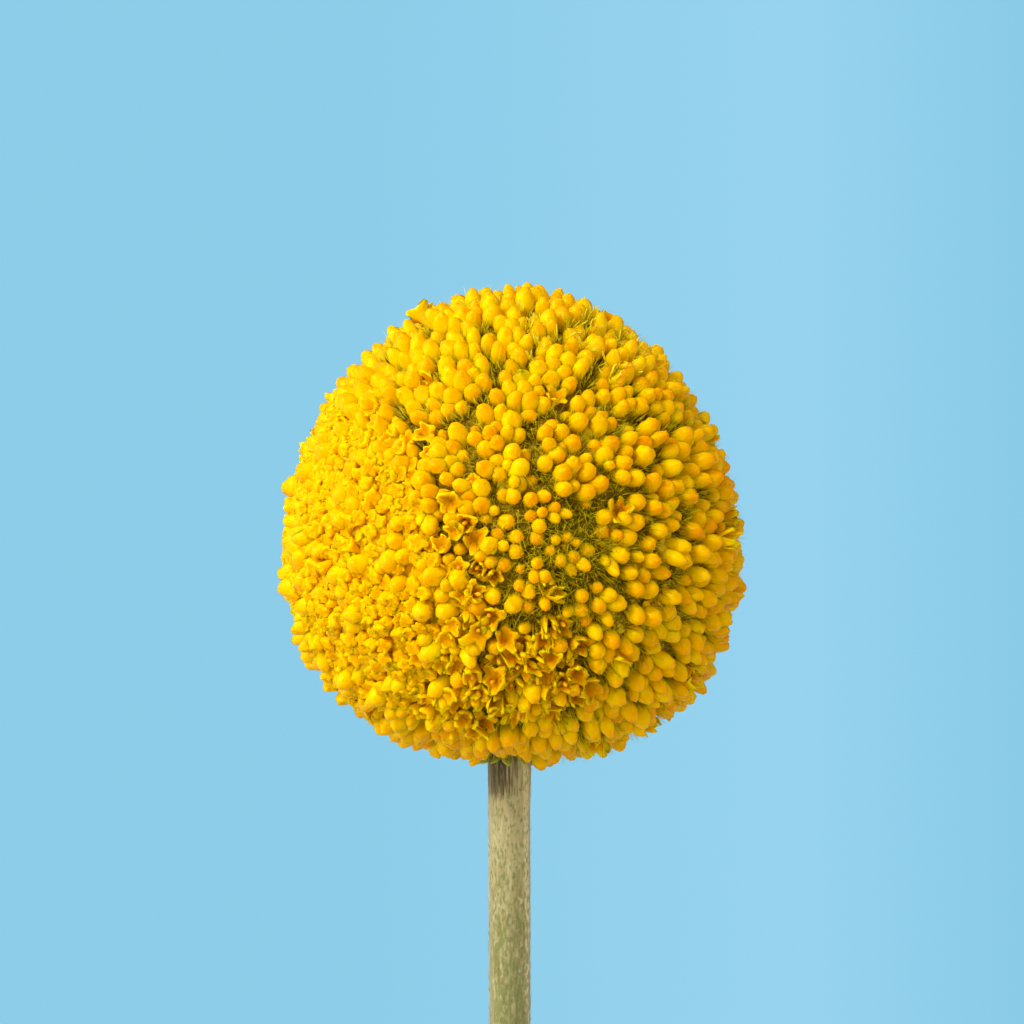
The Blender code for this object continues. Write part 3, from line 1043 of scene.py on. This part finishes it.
def stalk():
    sides, rings = 72, 200
    angle = np.arange(sides) / sides * math.tau
    foot = STEM_LOW[2] + STEM_RADIUS * (1 + np.cos(angle)) * math.tan(CUT_SLANT)
    share = np.linspace(0, 1, rings)[:, None]
    height = foot + (STEM_HIGH[2] - foot) * share
    rows = stem_surface(np.broadcast_to(angle, height.shape), height)
    low = [[0, stem_middle(foot.mean()), foot.mean()]]
    high = [[0, STEM_TOP_Y, STEM_HIGH[2]]]
    points = np.concatenate([low, rows.reshape(-1, 3), high])
    # Darker on the left just under the head: partly a mark, partly painted shade
    marks_and_shade = smooth(*MARK_AND_SHADE_HEIGHTS, points[:, 2]) * smooth(*MARK_AND_SHADE_ACROSS, points[:, 0] / STEM_RADIUS)
    turned_to = np.arctan2(points[:, 1] - stem_middle(points[:, 2]), points[:, 0])
    # Painted shade in the grooves and painted light on the ridges, carried to the felt as one value
    groove, ridge_light = (stem_line(turned_to, points[:, 2], lines) for lines in (STEM_GROOVES, STEM_LIT_RIDGES))
    skin = skin_faces(sides, rings)
    piece("stalk", *ON_STEM, felted_stem(), points[None], skin, marks_and_shade, groove - ridge_light, 50)


def stem_wool():
    """Short hairs that lie along the stem, most of them nearly flat on it."""
    angle = draw.uniform(0, math.tau, WOOL_HAIRS)
    height = draw.uniform(*WOOL_HEIGHTS, WOOL_HAIRS)
    length = draw.uniform(*WOOL_LENGTHS, WOOL_HAIRS) * MM
    raised = draw.uniform(*WOOL_RISES, WOOL_HAIRS) * MM
    raised *= 1 + RAISED_MORE * (draw.random(WOOL_HAIRS) > FLAT_SHARE)
    askew = draw.normal(0, WOOL_TURN, WOOL_HAIRS)
    starts = stem_surface(angle, height, -WOOL_SUNK)
    ends = stem_surface(angle + askew, height + length, raised)
    bend = draw.normal(0, WOOL_BEND, WOOL_HAIRS)
    widths = np.full(WOOL_HAIRS, WOOL_WIDTH)
    copies("stem_wool", ON_STEM, pale_wool(), hair_shape((0.5,)), starts, ends, widths, bend)


# The bottle and its water, turned from the same profile as in the CAD with finer steps


TURNED_SIDES = 144
BODY_RADIUS = (BOTTLE_HIGH[0] - BOTTLE_LOW[0]) / 2
BOTTLE_TOP = BOTTLE_HIGH[2]
WALL = 1.8 * MM
FLOOR_TOP = 4.2 * MM
INSIDE_HEEL = 3.0 * MM
SHOULDER_START = 44 * MM
SHOULDER_ROUND = 11 * MM
SHOULDER_FILLET = 4 * MM
NECK_RADIUS = 7.2 * MM
BORE_RADIUS = 5.0 * MM
RIM_RADIUS = 9.4 * MM
RIM_DEPTH = 6.0 * MM
RIM_ROUND = 1.5 * MM
HEEL_ROUND = 3.5 * MM
FOOT_INNER = 12 * MM
PUSH_UP = 1.4 * MM
SOFT_EDGE = 0.35 * MM
# The foot ring's inner edge stops here, in degrees, and the push-up begins this far inside it
RING_END = -168
RING_STEP = 0.1 * MM
# Points of a profile closer together than this are left out
CLOSEST_ROWS = 0.02 * MM
WATER_LEVEL = 40 * MM
MENISCUS_RISE = 0.9 * MM
MENISCUS_WIDTH = 1.7 * MM
# Water reaches this far into the glass, so that no film of air shows between them
WATER_OVERLAP = 0.04 * MM


def arc(radius_at, height_at, size, start, end, steps=10):
    """Points on a circle of the profile plane, from one angle to another in degrees."""
    angles = np.radians(np.linspace(start, end, steps + 1))
    return [(radius_at + size * math.cos(a), height_at + size * math.sin(a)) for a in angles]


def shoulder(body, neck, round_size, fillet_size):
    """The shoulder's round and the fillet into the neck, tangent to each other, from the body up."""
    round_at = body - round_size
    fillet_at = neck + fillet_size
    reach = round_size + fillet_size
    meet = math.degrees(math.acos((fillet_at - round_at) / reach))
    fillet_z = SHOULDER_START + reach * math.sin(math.radians(meet))
    convex = arc(round_at, SHOULDER_START, round_size, 0, meet, 18)
    concave = arc(fillet_at, fillet_z, fillet_size, 180 + meet, 180)
    return convex + concave


def inside_profile():
    heel_at = BODY_RADIUS - WALL - INSIDE_HEEL
    floor = [(0.0, FLOOR_TOP)]
    heel = arc(heel_at, FLOOR_TOP + INSIDE_HEEL, INSIDE_HEEL, -90, 0)
    return floor + heel + shoulder(
        BODY_RADIUS - WALL, BORE_RADIUS, SHOULDER_ROUND - WALL, SHOULDER_FILLET + WALL
    )


def rim_profile():
    low = BOTTLE_TOP - RIM_DEPTH
    high = BOTTLE_TOP - RIM_ROUND
    outer = RIM_RADIUS - RIM_ROUND
    rim = arc(BORE_RADIUS + RIM_ROUND, high, RIM_ROUND, 180, 90)
    rim += arc(outer, high, RIM_ROUND, 90, 0) + arc(outer, low + RIM_ROUND, RIM_ROUND, 0, -90)
    return rim + arc(NECK_RADIUS + SOFT_EDGE, low - SOFT_EDGE, SOFT_EDGE, 90, 180, 4)


def outside_profile():
    side = shoulder(BODY_RADIUS, NECK_RADIUS, SHOULDER_ROUND, SHOULDER_FILLET)[::-1]
    heel = arc(BODY_RADIUS - HEEL_ROUND, HEEL_ROUND, HEEL_ROUND, 0, -90)
    ring = arc(FOOT_INNER + SOFT_EDGE, SOFT_EDGE, SOFT_EDGE, -90, RING_END, 4)
    dome = (FOOT_INNER**2 + PUSH_UP**2) / (2 * PUSH_UP)
    spread = math.degrees(math.asin((FOOT_INNER - RING_STEP) / dome))
    push_up = arc(0.0, PUSH_UP - dome, dome, 90 - spread, 90, 14)[:-1]
    return side + heel + ring + push_up + [(0.0, PUSH_UP)]


def turned(name, node, slot, material, profile, crease):
    """A skin turned from a profile that runs from the axis out and back to it."""
    rows = [profile[0]]
    for point in profile[1:]:
        if math.dist(point, rows[-1]) > CLOSEST_ROWS:
            rows.append(point)
    radius, height = np.array(rows).T
    points, faces, _ = whole_skin(radius[:, None], height, TURNED_SIDES)
    piece(name, node, slot, material, points[None], faces, crease=crease)


def water_profile():
    edge = BODY_RADIUS - WALL + WATER_OVERLAP
    bottom = FLOOR_TOP - WATER_OVERLAP
    share = np.linspace(1, 0, 9)
    sag = [(edge - MENISCUS_WIDTH * (1 - s), WATER_LEVEL + MENISCUS_RISE * s**2) for s in share]
    heel = arc(edge - INSIDE_HEEL, bottom + INSIDE_HEEL, INSIDE_HEEL, -90, 0)
    middle = [(0.5 * edge, WATER_LEVEL), (0.0, WATER_LEVEL)]
    return [(0.0, bottom), (0.5 * edge, bottom)] + heel + sag + middle


def bottle_and_water():
    profile = (inside_profile() + rim_profile() + outside_profile())[::-1]
    turned("bottle_glass", "bottle", "clear_glass", soda_glass(), profile, 60)
    turned("bottle_water", "water", "water", still_water(), water_profile(), 50)


# Stage, light and camera


FLOOR_RADIUS = 1.2
FLOOR_SIDES = 96
CAMERA_DISTANCE = 0.5
# The photo's side in pixels, its scale, and where the stem and the head's middle are in it
PHOTO_PIXELS = 1024
PIXELS_PER_MM = 15.5
STEM_PIXEL_X = 509.5
HEAD_PIXEL_Y = 524.5
PHOTO_WIDTH = PHOTO_PIXELS / PIXELS_PER_MM * MM
FRAME_HALF_SLOPE = PHOTO_WIDTH / 2 / CAMERA_DISTANCE
FILL = 0.45
GLOSS_FILL = 0.1
# Soft boxes: where each stands from the head, how far off and how wide in metres, watts and colour
SOFT_BOXES = (
    ("key", (-0.95, -0.75, 0.62), 0.8, 1.1, 9.5, "#FFF9F0"),
    ("glint", (-0.6, -0.85, 0.75), 0.8, 0.08, 2.2, "#FFFFFF"),
    ("front_fill", (0.3, -1.0, 0.2), 1.0, 0.8, 0.2, "#FFF6EC"),
    ("right_fill", (1.0, -0.35, -0.06), 0.7, 0.35, 1.05, "#FFF6EC"),
)


def pale_floor():
    """A plain matt studio floor of painted board."""
    material, tree = new_material("pale_floor")
    place = object_place(tree)
    grain = noise(tree, place, (30,) * 3, 1.0)
    colour = ramp(tree, grain, [(0.3, "#C6C8C6"), (0.7, "#CACCCA")])
    mesh = bpy.data.meshes.new("floor")
    angle = np.arange(FLOOR_SIDES) / FLOOR_SIDES * math.tau
    rim = np.stack([np.cos(angle), np.sin(angle), np.zeros(FLOOR_SIDES)], -1) * FLOOR_RADIUS
    mesh.from_pydata(rim.tolist(), [], [list(range(FLOOR_SIDES))])
    mesh.materials.append(shaded(material, {"Base Color": colour, "Roughness": 0.9}))
    floor = new_object("floor", mesh)
    floor.location.z = cad_box[0].z


def studio_world():
    """A blue backdrop, a little lighter to the right, that is seen but lights as plain soft white."""
    world = bpy.data.worlds.new("studio")
    bpy.context.scene.world = world
    world.use_nodes = True
    tree = world.node_tree
    tree.nodes.clear()
    direction = add(tree, "ShaderNodeTexCoord").outputs["Generated"]
    sideways = add(tree, "ShaderNodeSeparateXYZ", {"Vector": direction}).outputs["X"]
    place = rescaled(tree, sideways, -FRAME_HALF_SLOPE, FRAME_HALF_SLOPE)
    blue = ramp(tree, place, [(0.35, "#8DCDE9"), (0.78, "#97D3EF"), (1.0, "#8ACBE8")])
    path = add(tree, "ShaderNodeLightPath")
    seeing = [path.outputs[name] for name in ("Is Camera Ray", "Is Transmission Ray")]
    seen = worked_out(tree, "MAXIMUM", *seeing)
    backdrop = add(tree, "ShaderNodeBackground", {"Color": blue, "Strength": 1.0})
    # Gloss sees less of the fill than matt surfaces do, as if dark cloths stood round the set
    strength = rescaled(tree, path.outputs["Is Glossy Ray"], 0.0, 1.0, FILL, GLOSS_FILL)
    fill = add(tree, "ShaderNodeBackground", {"Color": linear("#FFF6EA"), "Strength": strength})
    both = {0: seen, 1: fill.outputs[0], 2: backdrop.outputs[0]}
    surface = add(tree, "ShaderNodeMixShader", both).outputs[0]
    add(tree, "ShaderNodeOutputWorld", {"Surface": surface})


def soft_box(name, aim, distance, size, power, colour):
    light = bpy.data.lights.new(name, "AREA")
    light.size = size
    light.energy = power
    light.color = linear(colour)[:3]
    obj = new_object(name, light)
    away = Vector(aim).normalized()
    obj.location = Vector(HEAD_CENTRE) + away * distance
    obj.rotation_euler = away.to_track_quat("Z", "Y").to_euler()


def camera():
    lens = bpy.data.cameras.new("camera")
    lens.sensor_width = 36.0
    lens.lens = lens.sensor_width * CAMERA_DISTANCE / PHOTO_WIDTH
    lens.clip_start = 0.01
    obj = new_object("camera", lens)
    per_pixel = PHOTO_WIDTH / PHOTO_PIXELS
    middle = PHOTO_PIXELS / 2
    head_z = HEAD_CENTRE[2] - HEAD_SHIFT[2]
    x = (middle - STEM_PIXEL_X) * per_pixel
    z = head_z - (middle - HEAD_PIXEL_Y) * per_pixel
    obj.location = (x, HEAD_CENTRE[1] - CAMERA_DISTANCE, z)
    obj.rotation_euler = (math.pi / 2, 0, 0)
    bpy.context.scene.camera = obj


def studio():
    bpy.context.scene.view_settings.view_transform = "Standard"
    pale_floor()
    studio_world()
    for box in SOFT_BOXES:
        soft_box(*box)
    camera()


flower_head()
stalk()
stem_wool()
bottle_and_water()
studio()
